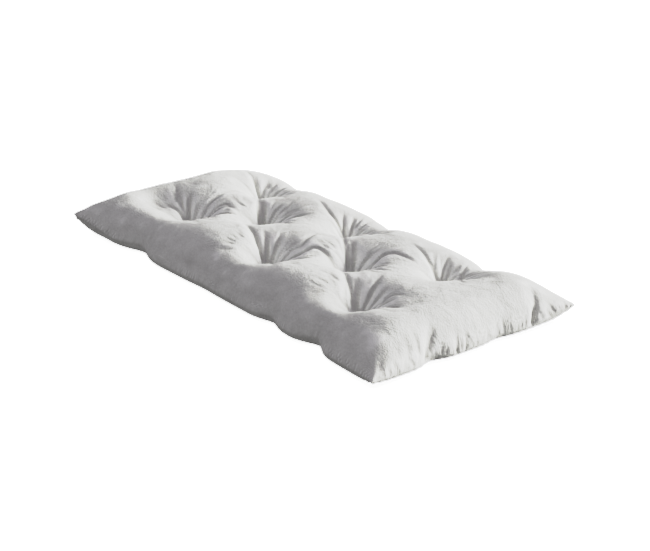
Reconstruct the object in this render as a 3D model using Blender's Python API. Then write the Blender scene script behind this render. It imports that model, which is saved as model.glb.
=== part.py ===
"""Tufted floor mattress: one filled cushion, sewn round its rim from a top and a bottom panel.

Eight ties pull the two panels together in rows of three, two and three. Between them the stuffing
stands in soft mounds, the cloth gathers into pleats round each tie, and the corners end in pointed
ears. The mattress lies on the floor: X is its length, Y its width, +Z up, and the origin is on the
floor below the middle.
"""

import math

import bmesh
import bpy
import numpy as np
from mathutils import Vector
from mathutils.geometry import delaunay_2d_cdt

# Driving dimensions, in metres.
LENGTH = 1.200
WIDTH = 0.600
CROWN = 0.102
MIDDLE_RISE = 0.010
SEAM_HEIGHT = 0.020

# How the stuffing fills out from the rim: the distance over which each side of the top rounds off,
# the same for the underside, and how square that rounding is (2 is a quarter of an ellipse).
SIDE_COLUMNS = ("side", "rounding", "bow")
SIDES = (
    ("left", 0.096, 0.004),
    ("right", 0.090, 0.006),
    ("front", 0.155, 0.023),
    ("back", 0.120, 0.018),
)
UNDER_ROUNDING = 0.055
ROUNDNESS = 1.9
CORNER_FULLNESS = 1.4
RIM_REACH = 0.140

# Corner ears: the signs of X and Y, how far the tip sticks out, the height it is raised to, and
# how full the cushion stays behind it compared with an ordinary corner.
EAR_COLUMNS = ("x_sign", "y_sign", "sticks_out", "tip_height", "extra_fullness")
EARS = (
    (-1, -1, 0.007, 0.052, 1.6),
    (+1, -1, 0.000, 0.024, 0.1),
    (+1, +1, 0.006, 0.040, -0.3),
    (-1, +1, 0.000, 0.024, -0.7),
)
EAR_SPREAD = 0.090
FULLNESS_SPREAD = 0.220
TIP_THINNING = 0.45
TIP_SPREAD = 0.035

# Where the stuffing is packed higher or lower than elsewhere: the place, how far it reaches along
# and across, and how far it rises.
SWELLING_COLUMNS = ("x", "y", "reach_x", "reach_y", "rise")
SWELLINGS = (
    (-0.480, +0.070, 0.095, 0.102, +0.018),
    (-0.565, -0.120, 0.055, 0.110, +0.022),
    (-0.458, -0.125, 0.090, 0.050, -0.028),
    (-0.585, -0.265, 0.060, 0.050, +0.010),
    (-0.570, +0.270, 0.110, 0.110, -0.016),
    (+0.480, +0.235, 0.060, 0.070, +0.007),
)

# Ties: place, height of the pit's bottom, width of the dimple, how much further its far wall
# reaches, and the bearing in degrees of each furrow between the pleats that fan out from it.
TIE_COLUMNS = ("x", "y", "pit_height", "spread", "far_wall", "furrows")
TIES = (
    (-0.350, -0.114, 0.034, 0.046, 0.35, (10, 40, 70, 99, 125, 150, 173, 208, 245, 285, 328)),
    (-0.364, +0.136, 0.036, 0.044, 0.60, (33, 70, 98, 118, 140, 161, 200, 240, 280, 320, 357)),
    (-0.198, +0.008, 0.032, 0.046, 0.25, (9, 42, 72, 96, 118, 138, 157, 195, 235, 275, 320)),
    (+0.009, -0.130, 0.030, 0.048, 0.35, (22, 57, 85, 107, 126, 143, 162, 200, 240, 285, 335)),
    (+0.001, +0.127, 0.036, 0.044, 0.80, (15, 42, 72, 98, 124, 150, 180, 214, 250, 290, 335)),
    (+0.176, -0.006, 0.032, 0.047, 0.25, (4, 28, 65, 105, 134, 150, 170, 205, 245, 290, 333)),
    (+0.357, -0.138, 0.030, 0.047, 0.35, (20, 45, 68, 91, 115, 142, 162, 198, 235, 280, 330)),
    (+0.355, +0.122, 0.036, 0.045, 1.10, (25, 59, 99, 116, 134, 152, 172, 205, 245, 285, 335)),
)
DIMPLE_SHARPNESS = 1.5
DISH_SHARE = 0.15
DISH_SPREAD = 0.100
FAR_BEARING = 85
PLEAT_DEPTH = 0.0095
PLEAT_REACH = 0.135
UNDER_PIT_HEIGHT = 0.012
UNDER_PIT_RADIUS = 0.055

# Places where a tie draws the rim in and lifts it: the side, the distance along it from its
# middle, how far in, how far up, and half the length of rim that follows.
PULL_COLUMNS = ("side", "along", "inwards", "upwards", "half_length")
RIM_PULLS = (
    ("front", -0.360, 0.028, 0.005, 0.058),
    ("front", +0.200, 0.016, 0.003, 0.040),
    ("front", +0.362, 0.027, 0.004, 0.042),
    ("front", -0.060, 0.002, 0.002, 0.050),
    ("front", -0.500, 0.004, 0.003, 0.060),
    ("back", -0.350, 0.018, 0.006, 0.045),
    ("back", +0.045, 0.018, 0.006, 0.045),
    ("back", +0.368, 0.020, 0.008, 0.032),
    ("right", -0.115, 0.012, 0.005, 0.034),
    ("right", +0.080, 0.007, 0.003, 0.035),
    ("left", +0.010, 0.008, 0.004, 0.050),
)

# Long creases across the top: where each starts, bends and ends, its half width and its depth.
CREASE_COLUMNS = ("x0", "y0", "x1", "y1", "x2", "y2", "half_width", "depth")
CREASES = (
    (+0.357, -0.138, +0.470, -0.150, +0.590, -0.110, 0.014, 0.005),
    (+0.520, +0.245, +0.560, +0.205, +0.598, +0.150, 0.009, 0.010),
    (+0.355, +0.122, +0.360, +0.200, +0.368, +0.285, 0.018, 0.024),
    (+0.001, +0.127, +0.020, +0.200, +0.045, +0.285, 0.022, 0.019),
    (-0.364, +0.136, -0.355, +0.210, -0.350, +0.285, 0.022, 0.010),
    (-0.350, -0.114, -0.350, -0.200, -0.355, -0.285, 0.022, 0.007),
    (+0.357, -0.138, +0.355, -0.210, +0.350, -0.285, 0.018, 0.005),
    (-0.198, +0.008, -0.270, -0.045, -0.350, -0.114, 0.020, 0.010),
    (-0.198, +0.008, -0.100, +0.090, +0.001, +0.127, 0.020, 0.010),
    (+0.176, -0.006, +0.080, -0.035, +0.009, -0.130, 0.016, 0.012),
    (+0.176, -0.006, +0.255, +0.080, +0.355, +0.122, 0.018, 0.012),
    (+0.500, -0.215, +0.550, -0.190, +0.598, -0.165, 0.008, 0.004),
    (+0.500, -0.150, +0.550, -0.140, +0.598, -0.150, 0.008, 0.006),
    (+0.510, -0.090, +0.550, -0.100, +0.598, -0.110, 0.007, 0.004),
)

# Gathers along the seam: how far they stand out at the ends and along the sides.
GATHER_END = 0.0030
GATHER_SIDE = 0.0014

# Mesh: stations along the rim, the rows of points beside it as inset and share of a gather, and
# the rings round each tie as radius and points to a pleat.
STATIONS_X = 94
STATIONS_Y = 48
RIM_ROWS = ((0.0, 0.35), (0.007, 1.0), (0.018, 1.0), (0.034, 0.6), (0.053, 0.2))
UNDER_ROWS = ((0.012, 2), (0.030, 2), (0.055, 4))
TIE_RINGS = ((0.006, 1), (0.014, 2), (0.025, 2), (0.039, 4), (0.055, 4), (0.073, 4), (0.094, 4))
UNDER_RINGS = (0.014, 0.028, 0.042, 0.055)
TOP_SPACING = 0.022
UNDER_SPACING = 0.060


def table(columns, rows):
    """The rows of a table as dictionaries keyed by column name."""
    return [dict(zip(columns, row)) for row in rows]


ties = table(TIE_COLUMNS, TIES)
sides = {side["side"]: side for side in table(SIDE_COLUMNS, SIDES)}


def bump(distance, reach):
    """A smooth hill of height 1 that falls to exactly 0 at reach."""
    share = np.clip(1 - (distance / reach) ** 2, 0, 1)
    return share * share


def inset_and_along(side, x, y):
    """Distance in from one side of the cut rectangle, and the distance along it from its middle."""
    if side in ("left", "right"):
        return LENGTH / 2 - (x if side == "right" else -x), y
    return WIDTH / 2 - (y if side == "back" else -y), x


def pulled(side, along):
    """How far one side is drawn in, and lifted, at each distance along it."""
    inwards = np.zeros_like(along)
    upwards = np.zeros_like(along)
    for pull in table(PULL_COLUMNS, RIM_PULLS):
        if pull["side"] == side:
            share = np.exp(-(((along - pull["along"]) / pull["half_length"]) ** 2))
            inwards += pull["inwards"] * share
            upwards += pull["upwards"] * share
    return inwards, upwards


def rim_share(inset):
    """1 on the rim, falling smoothly to 0 at RIM_REACH inside it."""
    return np.clip(1 - inset / RIM_REACH, 0, 1) ** 1.5


def ear_share(ear, x, y):
    """1 at the tip of an ear, fading over EAR_SPREAD."""
    from_tip = np.hypot(x - ear["x_sign"] * LENGTH / 2, y - ear["y_sign"] * WIDTH / 2)
    return np.exp(-((from_tip / EAR_SPREAD) ** 1.5))


def plan_position(x, y, gather):
    """Where points of the cut rectangle lie in plan once the rim has bowed, drawn in and puckered."""
    moved = {"left": 0, "right": 0, "front": 0, "back": 0}
    for side in moved:
        inset, along = inset_and_along(side, x, y)
        half = WIDTH / 2 if side in ("left", "right") else LENGTH / 2
        depth = GATHER_END if side in ("left", "right") else GATHER_SIDE
        bow = sides[side]["bow"] * (1 - (along / half) ** 2)
        nearest = np.clip(1 - inset / RIM_REACH, 0, 1) > 0.6
        puckers = np.where(nearest, depth * gather * (1 - (along / half) ** 8), 0)
        moved[side] = (bow + pulled(side, along)[0]) * rim_share(inset) - puckers
    new_x = x + moved["left"] - moved["right"]
    new_y = y + moved["front"] - moved["back"]
    for ear in table(EAR_COLUMNS, EARS):
        out = ear["sticks_out"] * ear_share(ear, x, y)
        new_x = new_x + ear["x_sign"] * out
        new_y = new_y + ear["y_sign"] * out
    return new_x, new_y


def seam_height(x, y):
    """Height of the rim seam beside each point of the rectangle."""
    height = np.full_like(x, SEAM_HEIGHT)
    for side in sides:
        inset, along = inset_and_along(side, x, y)
        height += pulled(side, along)[1] * rim_share(inset)
    for ear in table(EAR_COLUMNS, EARS):
        height += (ear["tip_height"] - SEAM_HEIGHT) * ear_share(ear, x, y)
    return height


def rounding(inset, reach):
    """Rises from 0 at the rim to 1 at reach inside it, steep at first like a quarter ellipse."""
    left = np.clip(1 - inset / reach, 0, 1)
    return np.maximum((1 - left**ROUNDNESS) ** (1 / ROUNDNESS), 1e-6)


def fullness(x, y, reaches):
    """How far the stuffing stands up at each point, 0 on the rim and 1 over the middle."""
    firmness = np.full_like(x, CORNER_FULLNESS)
    for ear in table(EAR_COLUMNS, EARS):
        from_tip = np.hypot(x - ear["x_sign"] * LENGTH / 2, y - ear["y_sign"] * WIDTH / 2)
        firmness += ear["extra_fullness"] * np.exp(-((from_tip / FULLNESS_SPREAD) ** 2))
    soft_least = -3.0
    for side, reach in reaches.items():
        inset = inset_and_along(side, x, y)[0]
        soft_least = soft_least + rounding(inset, reach) ** -firmness
    full = soft_least ** (-1 / firmness)
    for ear in table(EAR_COLUMNS, EARS):
        from_tip = np.hypot(x - ear["x_sign"] * LENGTH / 2, y - ear["y_sign"] * WIDTH / 2)
        full = full * (1 - TIP_THINNING * np.exp(-((from_tip / TIP_SPREAD) ** 1.5)))
    return np.where(full < 1e-4, 0, full)


def crease_depth(x, y):
    """Depth of the long creases: soft troughs that fade out at both ends."""
    deepest = np.zeros_like(x)
    for crease in table(CREASE_COLUMNS, CREASES):
        corners = [(crease[f"x{k}"], crease[f"y{k}"]) for k in range(3)]
        nearest = np.full_like(x, 9.0)
        where = np.zeros_like(x)
        for part, (start, end) in enumerate(zip(corners, corners[1:])):
            run = np.array(end) - start
            share = ((x - start[0]) * run[0] + (y - start[1]) * run[1]) / (run @ run)
            share = np.clip(share, 0, 1)
            gap = np.hypot(x - start[0] - share * run[0], y - start[1] - share * run[1])
            where = np.where(gap < nearest, (part + share) / 2, where)
            nearest = np.minimum(gap, nearest)
        along = np.sin(math.pi * np.clip(where, 0, 1)) ** 0.6
        trough = along * np.exp(-((nearest / crease["half_width"]) ** 1.5))
        deepest = np.maximum(deepest, crease["depth"] * trough)
    return deepest


def pleat_height(tie, distance, bearing):
    """Round ridges between sharp furrows, fanning out from a tie, tallest part-way up its far wall."""
    furrows = np.radians(tie["furrows"])
    edges = np.append(furrows, furrows[0] + 2 * math.pi)
    turned = (bearing - furrows[0]) % (2 * math.pi) + furrows[0]
    gap = np.clip(np.searchsorted(edges, turned, side="right") - 1, 0, len(furrows) - 1)
    width = (edges[1:] - edges[:-1])[gap]
    share = (turned - edges[gap]) / width
    ridge = np.abs(np.sin(math.pi * share)) ** 0.8 - 0.6
    travel = np.clip(distance / PLEAT_REACH, 0, 1)
    swell = np.sin(math.pi * travel**0.65) ** 1.3
    uneven = 0.75 + 0.25 * np.sin(2.4 * gap + 9 * tie["x"])
    taut = 0.5 - 0.5 * np.cos(bearing - math.radians(FAR_BEARING))
    return PLEAT_DEPTH * swell * uneven * ridge * np.sqrt(width / 0.6) * (1 - 0.9 * taut**2)


def top_height(x, y, plan_x, plan_y, seam):
    """Height of the top panel: crown, dimples, pleats and creases over the seam's height."""
    reaches = {name: side["rounding"] for name, side in sides.items()}
    full = fullness(x, y, reaches)
    crown = CROWN + MIDDLE_RISE * (1 - (2 * x / LENGTH) ** 2) * (1 - (2 * y / WIDTH) ** 2)
    for swelling in table(SWELLING_COLUMNS, SWELLINGS):
        along = (x - swelling["x"]) / swelling["reach_x"]
        across = (y - swelling["y"]) / swelling["reach_y"]
        crown = crown + swelling["rise"] * np.exp(-(along**2) - across**2)
    left_standing = np.ones_like(x)
    pleats = np.zeros_like(x)
    for tie in ties:
        distance = np.hypot(plan_x - tie["x"], plan_y - tie["y"])
        bearing = np.arctan2(plan_y - tie["y"], plan_x - tie["x"])
        sunk = 1 - tie["pit_height"] / crown
        far = np.clip(np.cos(bearing - math.radians(FAR_BEARING)), 0, 1)
        spread = tie["spread"] * (1 + tie["far_wall"] * far)
        funnel = np.exp(-((distance / spread) ** DIMPLE_SHARPNESS))
        dish = np.exp(-((distance / DISH_SPREAD) ** 2))
        left_standing *= 1 - sunk * ((1 - DISH_SHARE) * funnel + DISH_SHARE * dish)
        pleats += pleat_height(tie, distance, bearing)
    above_seam = (crown - seam) * full * left_standing
    return seam + above_seam + (pleats - crease_depth(plan_x, plan_y)) * full


def bottom_height(x, y, plan_x, plan_y, seam):
    """Height of the bottom panel: flat on the floor, with a shallow pit under each tie."""
    height = seam * (1 - fullness(x, y, dict.fromkeys(sides, UNDER_ROUNDING)))
    for tie in ties:
        distance = np.hypot(plan_x - tie["x"], plan_y - tie["y"])
        height += UNDER_PIT_HEIGHT * bump(distance, UNDER_PIT_RADIUS)
    return height


def stations(half, count):
    """Unevenly spaced places along a side, so that the gathers differ in width."""
    even = np.linspace(-1, 1, count + 1)
    return half * (even + 0.35 / count * np.sin(11 * math.pi * even))


def rim_row(inset, skip=1):
    """Points of a rectangle beside the rim, with 1 for a ridge of the gathers and -1 between."""
    half_x = LENGTH / 2 - inset
    half_y = WIDTH / 2 - inset
    along_x = stations(half_x, STATIONS_X)[::skip]
    along_y = stations(half_y, STATIONS_Y)[::skip]
    signs_x = np.where(np.arange(len(along_x)) % 2, 1.0, -1.0)
    signs_y = np.where(np.arange(len(along_y)) % 2, 1.0, -1.0)
    row = [(x, -half_y, sign) for x, sign in zip(along_x[:-1], signs_x)]
    row += [(half_x, y, sign) for y, sign in zip(along_y[:-1], signs_y)]
    row += [(x, half_y, sign) for x, sign in zip(along_x[:0:-1], signs_x[::-1])]
    row += [(-half_x, y, sign) for y, sign in zip(along_y[:0:-1], signs_y[::-1])]
    return np.array(row)


def hexagonal(half_x, half_y, spacing):
    """Evenly spread points over a rectangle."""
    points = []
    rows = round(2 * half_y / (spacing * 0.866))
    for row, y in enumerate(np.linspace(-half_y, half_y, rows + 1)):
        count = round(2 * half_x / spacing)
        shift = spacing / 4 if row % 2 else -spacing / 4
        points += [(x + shift, y, 0.0) for x in np.linspace(-half_x, half_x, count + 1)]
    return np.array(points)


def add_spread(points, spacing, inset):
    """Fill the room inside the given inset that is further than half a spacing from any point."""
    room = hexagonal(LENGTH / 2 - inset, WIDTH / 2 - inset, spacing)
    gaps = np.hypot(room[:, None, 0] - points[None, :, 0], room[:, None, 1] - points[None, :, 1])
    return np.vstack([points, room[gaps.min(axis=1) > 0.62 * spacing]])


def top_points():
    """Points of the top panel on the cut rectangle, the rim loop first."""
    parts = []
    for inset, share in RIM_ROWS:
        row = rim_row(inset)
        row[:, 2] *= share
        parts.append(row)
    for tie in ties:
        parts.append(np.array([(tie["x"], tie["y"], 0.0)]))
        furrows = np.append(tie["furrows"], tie["furrows"][0] + 360)
        for radius, to_a_pleat in TIE_RINGS:
            marks = np.arange((len(furrows) - 1) * to_a_pleat) / to_a_pleat
            turned = np.radians(np.interp(marks, np.arange(len(furrows)), furrows))
            x = tie["x"] + radius * np.cos(turned)
            y = tie["y"] + radius * np.sin(turned)
            parts.append(np.column_stack([x, y, np.zeros_like(x)]))
    return add_spread(np.vstack(parts), TOP_SPACING, RIM_ROWS[-1][0] + TOP_SPACING / 2)


def bottom_points():
    """Points of the bottom panel on the cut rectangle, the rim loop first."""
    rim = rim_row(0)
    rim[:, 2] *= RIM_ROWS[0][1]
    parts = [rim]
    for inset, skip in UNDER_ROWS:
        row = rim_row(inset, skip)
        row[:, 2] = 0
        parts.append(row)
    for tie in ties:
        parts.append(np.array([(tie["x"], tie["y"], 0.0)]))
        for radius in UNDER_RINGS:
            turned = np.radians(np.arange(0, 360, 36))
            x = tie["x"] + radius * np.cos(turned)
            y = tie["y"] + radius * np.sin(turned)
            parts.append(np.column_stack([x, y, np.zeros_like(x)]))
    return add_spread(np.vstack(parts), UNDER_SPACING, UNDER_ROWS[-1][0] + UNDER_SPACING / 2)


def triangles(points, rim_count):
    """Triangles that join the points of a panel, anticlockwise seen from above."""
    flat = [Vector(point[:2]) for point in points]
    result = delaunay_2d_cdt(flat, [], [list(range(rim_count))], 1, 1e-7)
    original = [sources[0] for sources in result[3]]
    faces = []
    for face in result[2]:
        a, b, c = (original[corner] for corner in face)
        if (flat[b] - flat[a]).cross(flat[c] - flat[a]) < 0:
            b, c = c, b
        faces.append((a, b, c))
    return faces


def mattress_mesh():
    """The closed shell: a fine top panel and a coarser bottom panel that share the rim."""
    mesh = bmesh.new()
    rim_count = 2 * (STATIONS_X + STATIONS_Y)
    rim = []
    for panel_points, height, is_top in (
        (top_points(), top_height, True),
        (bottom_points(), bottom_height, False),
    ):
        x, y, gather = panel_points.T
        seam = seam_height(x, y)
        plan_x, plan_y = plan_position(x, y, gather)
        z = height(x, y, plan_x, plan_y, seam)
        z[:rim_count] = seam[:rim_count]
        places = np.column_stack([plan_x, plan_y, z])
        if is_top:
            rim = [mesh.verts.new(place) for place in places[:rim_count]]
        verts = rim + [mesh.verts.new(place) for place in places[rim_count:]]
        for a, b, c in triangles(panel_points, rim_count):
            mesh.faces.new([verts[k] for k in ((a, b, c) if is_top else (a, c, b))])
    data = bpy.data.meshes.new("mattress")
    mesh.to_mesh(data)
    mesh.free()
    return data


def cloth_material():
    """Pale grey brushed cloth with a matt nap."""
    material = bpy.data.materials.new("pale_grey_cloth")
    material.use_nodes = True
    shader = material.node_tree.nodes["Principled BSDF"]
    shader.inputs["Base Color"].default_value = (0.72, 0.73, 0.70, 1)
    shader.inputs["Roughness"].default_value = 0.95
    shader.inputs["Metallic"].default_value = 0
    shader.inputs["Sheen Weight"].default_value = 0.4
    return material


def main():
    for leftover in list(bpy.data.objects):
        bpy.data.objects.remove(leftover)
    mattress = bpy.data.objects.new("mattress", mattress_mesh())
    mattress.data.materials.append(cloth_material())
    mattress.data.shade_smooth()
    bpy.context.scene.collection.objects.link(mattress)


main()
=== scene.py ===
# %% [markdown]
# # A tufted floor mattress
#
# The real thing is two rectangles of brushed pale grey cloth, sewn together all round and stuffed
# with loose fibre. Eight ties of thread go right through it and pull the two panels together.
# Everything that makes it look soft comes from those three facts: mounds between the ties, pleats
# that fan out of each pit, sides that are drawn in opposite the ties, and small gathers along the
# seam. In this lesson the cover is one closed mesh whose top panel is relaxed like cloth.
#
# The imported CAD model comes first. It is loaded as a frame that never moves.

import math

import bpy
import numpy as np
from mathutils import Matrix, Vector
from mathutils.geometry import delaunay_2d_cdt


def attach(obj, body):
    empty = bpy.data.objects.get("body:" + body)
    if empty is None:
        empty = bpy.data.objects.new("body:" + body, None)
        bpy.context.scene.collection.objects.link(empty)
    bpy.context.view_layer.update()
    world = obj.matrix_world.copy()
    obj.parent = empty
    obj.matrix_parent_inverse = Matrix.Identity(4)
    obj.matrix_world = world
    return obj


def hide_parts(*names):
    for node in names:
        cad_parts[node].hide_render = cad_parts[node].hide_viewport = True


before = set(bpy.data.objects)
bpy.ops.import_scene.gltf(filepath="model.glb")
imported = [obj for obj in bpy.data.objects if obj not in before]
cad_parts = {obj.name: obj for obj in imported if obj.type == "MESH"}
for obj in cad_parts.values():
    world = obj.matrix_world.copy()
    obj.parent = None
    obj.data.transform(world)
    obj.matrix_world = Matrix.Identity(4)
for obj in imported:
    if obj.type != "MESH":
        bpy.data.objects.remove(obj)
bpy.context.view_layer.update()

# %% [markdown]
# ## The camera
#
# The photograph was taken from a few metres away with a fairly long lens, a little over twenty
# degrees above the floor. A camera that is aimed by hand could be nudged until it looks right. Here
# the angles were fitted to the mattress's four corners, so the camera is placed on a sphere
# round the origin by azimuth, elevation and distance, which keeps the three numbers readable.

# %% Place the camera
AZIMUTH, ELEVATION, DISTANCE = math.radians(51.81), math.radians(22.28), 3.771
FRAME_WIDTH = 650


def from_origin(azimuth, elevation, distance):
    """A point seen from the origin at these angles. Azimuth 0 is the front, 90 degrees the right."""
    level = math.cos(elevation) * distance
    return Vector((math.sin(azimuth) * level, -math.cos(azimuth) * level, math.sin(elevation) * distance))


lens = bpy.data.cameras.new("camera")
lens.sensor_width, lens.lens = 36, 84.06
# The origin shows 18 pixels left of the middle of the frame and 1.2 pixels above it.
lens.shift_x, lens.shift_y = 18 / FRAME_WIDTH, -1.2 / FRAME_WIDTH
camera = bpy.data.objects.new("camera", lens)
camera.location = from_origin(AZIMUTH, ELEVATION, DISTANCE)
camera.rotation_euler = (math.pi / 2 - ELEVATION, 0, AZIMUTH)
bpy.context.scene.collection.objects.link(camera)
bpy.context.scene.camera = camera
print("camera at", [round(value, 3) for value in camera.location])

# %% [markdown]
# ## The cut cloth and what pulls on it
#
# A maker cuts a rectangle, sews it and stuffs it, so the mesh is described in the same way: by
# the place of each point on the cut rectangle, and by what moves it from there. The same named
# values shape the CAD solid, and they are repeated here because this script can't read that file.
# Each side has its own roundness: the front lies in a fat roll, and both ends fall more steeply.
# A few swellings say where the stuffing is packed higher or lower, such as the full left end.

# %% Sizes of the mattress
LENGTH, WIDTH = 1.200, 0.600
CROWN, MIDDLE_RISE = 0.102, 0.010
SEAM_HEIGHT, UNDER_ROUNDING = 0.020, 0.055
ROUNDNESS, CORNER_FULLNESS, RIM_REACH = 1.9, 1.4, 0.140
EAR_REACH, CORNER_REACH, TIP_REACH, TIP_THINNING = 0.090, 0.220, 0.035, 0.45
ROUNDING = {"left": 0.096, "right": 0.090, "front": 0.155, "back": 0.120}
BOW = {"left": 0.004, "right": 0.006, "front": 0.023, "back": 0.018}
# Ears: sign of x, sign of y, how far the tip sticks out, its height, extra fullness behind it.
EARS = (
    (-1, -1, 0.007, 0.052, 1.6),
    (+1, -1, 0.000, 0.024, 0.1),
    (+1, +1, 0.006, 0.040, -0.3),
    (-1, +1, 0.000, 0.024, -0.7),
)
# Where a tie draws the rim in: the side, how far along it, inwards, upwards and half the length.
RIM_PULLS = (
    ("front", -0.360, 0.028, 0.005, 0.058),
    ("front", +0.200, 0.016, 0.003, 0.040),
    ("front", +0.362, 0.027, 0.004, 0.042),
    ("front", -0.060, 0.002, 0.002, 0.050),
    ("front", -0.500, 0.004, 0.003, 0.060),
    ("back", -0.350, 0.018, 0.006, 0.045),
    ("back", +0.045, 0.018, 0.006, 0.045),
    ("back", +0.368, 0.020, 0.008, 0.032),
    ("right", -0.115, 0.012, 0.005, 0.034),
    ("right", +0.080, 0.007, 0.003, 0.035),
    ("left", +0.010, 0.008, 0.004, 0.050),
)
# Where the stuffing is packed higher or lower: place, reach along and across, rise.
SWELLINGS = (
    (-0.480, +0.070, 0.095, 0.102, +0.018),
    (-0.565, -0.120, 0.055, 0.110, +0.022),
    (-0.458, -0.125, 0.090, 0.050, -0.028),
    (-0.585, -0.265, 0.060, 0.050, +0.010),
    (-0.570, +0.270, 0.110, 0.110, -0.016),
    (-0.350, +0.270, 0.050, 0.060, -0.001),
    (+0.045, +0.270, 0.050, 0.060, -0.009),
    (+0.368, +0.270, 0.036, 0.060, -0.012),
    (+0.480, +0.235, 0.060, 0.070, +0.007),
)
print("cut size", LENGTH, "x", WIDTH, "m,", len(RIM_PULLS), "places where the rim is drawn in")

# %% [markdown]
# ## The eight ties
#
# Each tie is a pit with furrows running out of it. Furrows could be left to chance, but a fan of
# pleats is what the eye goes to first on such a mattress, so the bearing of each furrow is given,
# in degrees anticlockwise from the length. The cloth settles between them later by itself.

# %% Places of the ties and their furrows
# Place along and across, height of the pit's bottom, width of its funnel, how much wider the
# funnel is on the far side, and the bearings of its furrows.
TIES = (
    (-0.350, -0.114, 0.034, 0.046, 0.35, (10, 40, 70, 99, 125, 150, 173, 208, 245, 285, 328)),
    (-0.364, +0.136, 0.036, 0.044, 0.60, (33, 70, 98, 118, 140, 161, 200, 240, 280, 320, 357)),
    (-0.198, +0.008, 0.032, 0.046, 0.25, (9, 42, 72, 96, 118, 138, 157, 195, 235, 275, 320)),
    (+0.009, -0.130, 0.030, 0.048, 0.35, (22, 57, 85, 107, 126, 143, 162, 200, 240, 285, 335)),
    (+0.001, +0.127, 0.036, 0.044, 0.80, (15, 42, 72, 98, 124, 150, 180, 214, 250, 290, 335)),
    (+0.176, -0.006, 0.032, 0.047, 0.25, (4, 28, 65, 105, 134, 150, 170, 205, 245, 290, 333)),
    (+0.357, -0.138, 0.030, 0.047, 0.35, (20, 45, 68, 91, 115, 142, 162, 198, 235, 280, 330)),
    (+0.355, +0.122, 0.036, 0.045, 1.10, (25, 59, 99, 116, 134, 152, 172, 205, 245, 285, 335)),
)
print(len(TIES), "ties,", sum(len(tie[5]) for tie in TIES), "furrows")

# %% [markdown]
# ## From the cut rectangle to the stuffed shape
#
# Three small functions bend the rectangle: one draws the rim in, one gives the height of the seam
# beside every point, and one says how far the stuffing stands up. They work on whole arrays of
# points at once, which in Python is hundreds of times faster than a loop over vertices.

# %% Draw the rim in
def inset_and_along(side, x, y):
    """Distance in from one side of the cut rectangle, and the distance along it."""
    if side in ("left", "right"):
        return LENGTH / 2 - (x if side == "right" else -x), y
    return WIDTH / 2 - (y if side == "back" else -y), x


def half_of(side):
    return WIDTH / 2 if side in ("left", "right") else LENGTH / 2


def pulled(side, along):
    """How far one side is drawn in and lifted at each distance along it."""
    inwards, upwards = np.zeros_like(along), np.zeros_like(along)
    for name, middle, inward, upward, reach in RIM_PULLS:
        if name == side:
            share = np.exp(-(((along - middle) / reach) ** 2))
            inwards, upwards = inwards + inward * share, upwards + upward * share
    return inwards, upwards


def rim_share(inset):
    return np.clip(1 - inset / RIM_REACH, 0, 1) ** 1.5


def from_tip(ear, x, y):
    """Distance from the tip of one ear, on the cut rectangle."""
    return np.hypot(x - ear[0] * LENGTH / 2, y - ear[1] * WIDTH / 2)


def ear_share(ear, x, y):
    return np.exp(-((from_tip(ear, x, y) / EAR_REACH) ** 1.5))


def plan_position(x, y):
    """Where points of the cut rectangle lie, seen from above, once the rim is drawn in."""
    moved = {}
    for side in ROUNDING:
        inset, along = inset_and_along(side, x, y)
        bow = BOW[side] * (1 - (along / half_of(side)) ** 2)
        moved[side] = (bow + pulled(side, along)[0]) * rim_share(inset)
    plan_x, plan_y = x + moved["left"] - moved["right"], y + moved["front"] - moved["back"]
    for ear in EARS:
        plan_x = plan_x + ear[0] * ear[2] * ear_share(ear, x, y)
        plan_y = plan_y + ear[1] * ear[2] * ear_share(ear, x, y)
    return plan_x, plan_y


def seam_height(x, y):
    """Height of the seam beside each point of the cut rectangle."""
    height = np.full_like(x, SEAM_HEIGHT)
    for side in ROUNDING:
        inset, along = inset_and_along(side, x, y)
        height = height + pulled(side, along)[1] * rim_share(inset)
    for ear in EARS:
        height = height + (ear[3] - SEAM_HEIGHT) * ear_share(ear, x, y)
    return height


front_pull = pulled("front", np.linspace(-LENGTH / 2, LENGTH / 2, 99))[0]
print("the front is drawn in by up to", round(float(front_pull.max()), 3), "m")

# %% [markdown]
# ## How the stuffing stands up
#
# Loose fibre rises like a quarter of an ellipse from the seam and levels off in the middle. Where
# two sides meet in a corner both roundings count, and a soft least of the four gives the full but
# pointed corner of a stuffed rectangle. A tie then takes its funnel and a wide shallow dish away.

# %% Fullness of the stuffing
def fullness(x, y, reaches):
    """How far the stuffing stands up, 0 on the rim and 1 over the middle."""
    firmness = np.full_like(x, CORNER_FULLNESS)
    for ear in EARS:
        firmness += ear[4] * np.exp(-((from_tip(ear, x, y) / CORNER_REACH) ** 2))
    total = -3.0  # the four sides each add 1 in the middle, which leaves 1
    for side, reach in reaches.items():
        left = np.clip(1 - inset_and_along(side, x, y)[0] / reach, 0, 1)
        rise = np.maximum((1 - left**ROUNDNESS) ** (1 / ROUNDNESS), 1e-6)
        total = total + rise**-firmness
    full = total ** (-1 / firmness)
    for ear in EARS:
        full = full * (1 - TIP_THINNING * np.exp(-((from_tip(ear, x, y) / TIP_REACH) ** 1.5)))
    return np.where(full < 1e-4, 0, full)


middle = np.zeros(1)
print("fullness over the middle", round(float(fullness(middle, middle, ROUNDING)[0]), 3))

# %% Height of the top without its folds
FUNNEL_SHARE, DISH_SHARE, DISH_REACH, FAR_BEARING = 0.85, 0.15, 0.100, math.radians(85)


def seen_from(tie_x, tie_y, x, y):
    """Distance and bearing of points from a tie."""
    return np.hypot(x - tie_x, y - tie_y), np.arctan2(y - tie_y, x - tie_x)


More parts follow.
